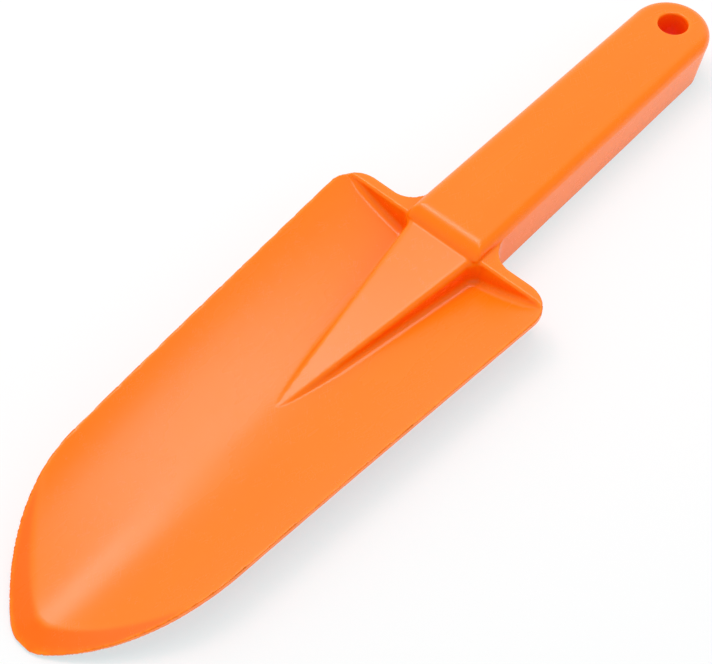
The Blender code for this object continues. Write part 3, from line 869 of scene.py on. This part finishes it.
def noise(tree, place, size, detail, roughness):
    """Smooth random values from 0 to 1, in lumps of about the given size."""
    node = tree.nodes.new("ShaderNodeTexNoise")
    feed_named(tree, node, {"Vector": place, "Scale": 1.0 / size, "Detail": detail, "Roughness": roughness})
    return Formula(tree, node.outputs["Fac"])


def skin_group():
    """The fine grain of a moulded skin, and the slow streaks that the plastic left as it flowed."""
    inputs = [("Place", "NodeSocketVector"), *floats(("Grain Size", "Patch Size"))]
    tree, given, end = start_group("moulded_skin", "ShaderNodeTree", inputs, floats(("Grain", "Streaks")))
    grain = noise(tree, given["Place"], given["Grain Size"], detail=3.0, roughness=0.6)
    along = vector_math(tree, "MULTIPLY", given["Place"], Vector((STREAK_STRETCH, 1.0, 1.0)))
    streaks = noise(tree, along, given["Patch Size"], detail=4.0, roughness=0.55)
    feed_named(tree, end, {"Grain": grain, "Streaks": streaks})
    return tree


def scuff_and_highlight_group():
    """Hairline scuffs in two directions, and a patchy painted highlight on convex edges."""
    inputs = [("Place", "NodeSocketVector"), *floats(("Edge", "Scuff Size"))]
    tree, given, end = start_group("light_wear", "ShaderNodeTree", inputs, floats(("Scuffs", "Rubbed")))
    spread = noise(tree, given["Place"], given["Scuff Size"], detail=2.0, roughness=0.6)
    spread = share((spread - SCUFF_SPREAD) * SCUFF_SPREAD_GAIN)
    total = None
    for turn, stretch in SCUFF_LINES:
        turned = tree.nodes.new("ShaderNodeVectorRotate")
        turned.rotation_type = "Z_AXIS"
        feed_named(tree, turned, {"Vector": given["Place"], "Angle": turn})
        drawn = vector_math(tree, "MULTIPLY", Formula(tree, turned.outputs[0]), Vector((stretch, 1.0, 1.0)))
        lines = noise(tree, drawn, given["Scuff Size"] * HAIR_SPACING, detail=1.0, roughness=0.5)
        hair = share(1.0 - abs(lines - NOISE_MIDDLE) * HAIR_SHARPNESS) * spread
        total = hair if total is None else highest(total, hair)
    patchy = noise(tree, given["Place"], given["Scuff Size"] * HIGHLIGHT_PATCH, detail=3.0, roughness=0.6)
    uneven = share(HIGHLIGHT_LEVEL + (patchy - HIGHLIGHT_LEVEL) * HIGHLIGHT_CONTRAST)
    # Painted highlight: lighter colour on convex edges, in uneven patches.
    highlighted = share(given["Edge"] * HIGHLIGHT_GAIN) * uneven
    feed_named(tree, end, {"Scuffs": total, "Rubbed": highlighted})
    return tree


def shared_group(name, maker):
    """A node group, made once."""
    return bpy.data.node_groups.get(name) or maker()


def blended(tree, part, first, second):
    """Colour between two others."""
    node = tree.nodes.new("ShaderNodeMix")
    node.data_type = "RGBA"
    sockets = [socket for socket in node.inputs if socket.enabled]
    feed(tree, sockets, [part, first, second])
    return Formula(tree, next(socket for socket in node.outputs if socket.enabled))


def stored(tree, name):
    """A value that the moulding keeps at each place of its surface."""
    node = tree.nodes.new("ShaderNodeAttribute")
    node.attribute_name = name
    return Formula(tree, node.outputs["Fac"])


def plastic():
    """Satin moulded plastic, with fine grain, flow streaks and hairline scuffs, painted shade in hollows and
    on the bevel, and a painted highlight on convex edges.
    """
    made = bpy.data.materials.get("satin_plastic")
    if made:
        return made
    look = bpy.context.scene.trowel_finish
    made = bpy.data.materials.new("satin_plastic")
    made.use_nodes = True
    tree = made.node_tree
    shader = tree.nodes["Principled BSDF"]
    place = Formula(tree, tree.nodes.new("ShaderNodeTexCoord").outputs["Object"])
    terms = {"Place": place, "Grain Size": look.grain_size, "Patch Size": look.patch_size}
    skin = placed_group(tree, shared_group("moulded_skin", skin_group), terms)
    terms = {"Place": place, "Edge": stored(tree, "edge"), "Scuff Size": look.scuff_size}
    scuffs_and_highlight = placed_group(tree, shared_group("light_wear", scuff_and_highlight_group), terms)
    grain = Formula(tree, skin.outputs["Grain"])
    streaks = Formula(tree, skin.outputs["Streaks"]) - NOISE_MIDDLE
    scuffs = Formula(tree, scuffs_and_highlight.outputs["Scuffs"])
    highlighted = Formula(tree, scuffs_and_highlight.outputs["Rubbed"])

    darkest = 1.0 - look.streak_change * 2.0
    streaked = [value * darkest for value in look.plastic_colour]
    colour = blended(tree, share(NOISE_MIDDLE - streaks), (*look.plastic_colour, 1.0), (*streaked, 1.0))
    # Painted shade: hollows and the bevel take the darker shade colour.
    colour = blended(tree, stored(tree, "depth"), colour, (*look.painted_shade_colour, 1.0))
    # Painted highlight: convex edges lighter in colour, and a little glossier in roughness.
    colour = blended(tree, highlighted, colour, (*look.rubbed_colour, 1.0))
    roughness = look.roughness + streaks * STREAK_ROUGHNESS
    roughness = roughness + scuffs * look.scuff_strength - highlighted * HIGHLIGHT_GLOSS
    bump = tree.nodes.new("ShaderNodeBump")
    feed_named(tree, bump, {"Height": grain - scuffs * SCUFF_DEPTH, "Distance": look.grain_height})
    terms = {"Base Color": colour, "Roughness": roughness, "Normal": bump.outputs["Normal"]}
    feed_named(tree, shader, {**terms, "Specular IOR Level": look.shine})
    return made


class TROWEL_OT_handle(bpy.types.Operator):
    """Make the handle: its channel, ribs, hanging hole and round butt"""

    bl_idname = "trowel.handle"
    bl_label = "Handle"

    def execute(self, context):
        make_part("handle", False, HANDLE_NODES)
        return {"FINISHED"}


class TROWEL_OT_blade(bpy.types.Operator):
    """Make the blade: its trough, spine, shoulder wall and bevelled tip"""

    bl_idname = "trowel.blade"
    bl_label = "Blade"

    def execute(self, context):
        make_part("blade", True, BLADE_NODES)
        return {"FINISHED"}


def add_camera(stage):
    """A camera that looks down at the trowel from one side."""
    heading = stage.camera_heading
    tilt = stage.camera_tilt
    right = Vector((-math.cos(heading), math.sin(heading), 0.0))
    level = Vector((-math.sin(heading), -math.cos(heading), 0.0))
    forward = level * math.cos(tilt) - Vector((0.0, 0.0, 1.0)) * math.sin(tilt)
    up = right.cross(forward)
    target = Vector((0.0, 0.0, AIM_HEIGHT))
    place = target - forward * stage.camera_distance + right * stage.camera_right + up * stage.camera_up
    data = bpy.data.cameras.new("camera")
    data.lens = stage.camera_lens
    data.sensor_width = SENSOR_WIDTH
    camera = bpy.data.objects.new("camera", data)
    camera.matrix_world = Matrix.Translation(place) @ Matrix((right, up, -forward)).transposed().to_4x4()
    bpy.context.scene.collection.objects.link(camera)
    bpy.context.scene.camera = camera


def add_lamp(name, place, size, strength):
    """A soft lamp that faces the trowel, as bright as its strength says where it is seen mirrored."""
    data = bpy.data.lights.new(name, "AREA")
    data.shape = "RECTANGLE"
    data.size, data.size_y = size
    data.energy = strength * math.pi * data.size * data.size_y
    lamp = bpy.data.objects.new(name, data)
    back = Vector(place).normalized()
    across = back.cross(Vector((1.0, 0.0, 0.0))).normalized()
    turned = Matrix((across.cross(back), across, back)).transposed()
    lamp.matrix_world = Matrix.Translation(place) @ turned.to_4x4()
    bpy.context.scene.collection.objects.link(lamp)
    return lamp


def ray_kinds(tree):
    """Camera, glossy and transmission rays, each 1 where a ray is of that kind."""
    path = tree.nodes.new("ShaderNodeLightPath")
    kinds = ("Camera", "Glossy", "Transmission")
    return [Formula(tree, path.outputs["Is " + kind + " Ray"]) for kind in kinds]


def add_world(stage):
    """Light from all round. It is seen as white, and mirrored as white with a darker near side."""
    world = bpy.data.worlds.new("studio")
    world.use_nodes = True
    bpy.context.scene.world = world
    tree = world.node_tree
    background = tree.nodes["Background"]
    background.inputs["Color"].default_value = (1.0, 1.0, 1.0, 1.0)
    camera, glossy, through = ray_kinds(tree)
    ahead, left, height = parts_of(tree, tree.nodes.new("ShaderNodeTexCoord").outputs["Generated"])
    nearness = highest(ahead, left * NEAR_SIDE_TURN)
    near_side = eased((nearness - NEAR_SIDE_START) / NEAR_SIDE_WIDTH)
    shade = between(1.0, stage.dark_side, near_side)
    light = stage.room_light * between(stage.low_light, stage.high_light, abs(height))
    strength = between(light, shade, glossy)
    strength = between(strength, 1.0, highest(camera, through))
    feed_named(tree, background, {"Strength": strength})


def table_material(stage):
    """Pale table: plain and matt for the light, and nearly white for the camera, with the trowel's shadow."""
    material = bpy.data.materials.new("table")
    material.use_nodes = True
    tree = material.node_tree
    shader = tree.nodes["Principled BSDF"]
    camera, glossy, through = ray_kinds(tree)
    seen = highest(camera, highest(glossy, through))
    whiteness = (*(1.0 - value * stage.white_level for value in stage.shadow_colour), 1.0)
    shade = blended(tree, seen, (*stage.table_colour, 1.0), (*stage.shadow_colour, 1.0))
    white = blended(tree, seen, (0.0, 0.0, 0.0, 1.0), whiteness)
    feed_named(tree, shader, {"Base Color": shade, "Emission Color": white, "Emission Strength": 1.0})
    feed_named(tree, shader, {"Roughness": TABLE_ROUGHNESS, "Specular IOR Level": 0.0})
    return material


def add_table(stage):
    """A wide flat table, a hair below the trowel."""
    form = bmesh.new()
    bmesh.ops.create_grid(form, x_segments=1, y_segments=1, size=TABLE_HALF_WIDTH)
    mesh = bpy.data.meshes.new("table")
    form.to_mesh(mesh)
    form.free()
    mesh.transform(Matrix.Translation((0.0, 0.0, -TABLE_DROP)))
    table = bpy.data.objects.new("table", mesh)
    bpy.context.scene.collection.objects.link(table)
    mesh.materials.append(table_material(stage))


class TROWEL_OT_stage(bpy.types.Operator):
    """Set up the table, the soft light and the camera"""

    bl_idname = "trowel.stage"
    bl_label = "Stage"

    def execute(self, context):
        stage = context.scene.trowel_stage
        add_camera(stage)
        add_table(stage)
        add_world(stage)
        add_lamp("strip", stage.strip_place, stage.strip_size, stage.strip_strength)
        add_lamp("core", stage.core_place, stage.core_size, stage.core_strength)
        window = add_lamp("window", stage.window_place, stage.window_size, stage.window_strength)
        window.visible_glossy = False
        context.scene.view_settings.view_transform = "Standard"
        context.scene.cycles.diffuse_bounces = LIGHT_BOUNCES
        return {"FINISHED"}


class TROWEL_PT_panel(bpy.types.Panel):
    """Camp trowel and its stage"""

    bl_idname = "TROWEL_PT_panel"
    bl_label = "Camp Trowel"
    bl_space_type = "VIEW_3D"
    bl_region_type = "UI"
    bl_category = "Camp Trowel"

    def draw(self, context):
        layout = self.layout
        for operator in OPERATORS:
            layout.operator(operator.bl_idname)
        for group in (context.scene.trowel_sizes, context.scene.trowel_finish, context.scene.trowel_stage):
            column = layout.column(align=True)
            for item in group.bl_rna.properties:
                if item.identifier not in ("rna_type", "name"):
                    column.prop(group, item.identifier)


OPERATORS = (TROWEL_OT_stage, TROWEL_OT_handle, TROWEL_OT_blade)
CLASSES = (TrowelSizes, FinishSettings, StageSettings, *OPERATORS, TROWEL_PT_panel)


def register():
    for item in CLASSES:
        bpy.utils.register_class(item)
    bpy.types.Scene.trowel_sizes = PointerProperty(type=TrowelSizes)
    bpy.types.Scene.trowel_finish = PointerProperty(type=FinishSettings)
    bpy.types.Scene.trowel_stage = PointerProperty(type=StageSettings)


def unregister():
    del bpy.types.Scene.trowel_stage
    del bpy.types.Scene.trowel_finish
    del bpy.types.Scene.trowel_sizes
    for item in reversed(CLASSES):
        bpy.utils.unregister_class(item)


def main():
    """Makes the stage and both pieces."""
    register()
    bpy.ops.trowel.stage()
    bpy.ops.trowel.handle()
    bpy.ops.trowel.blade()


if __name__ == "__main__":
    main()
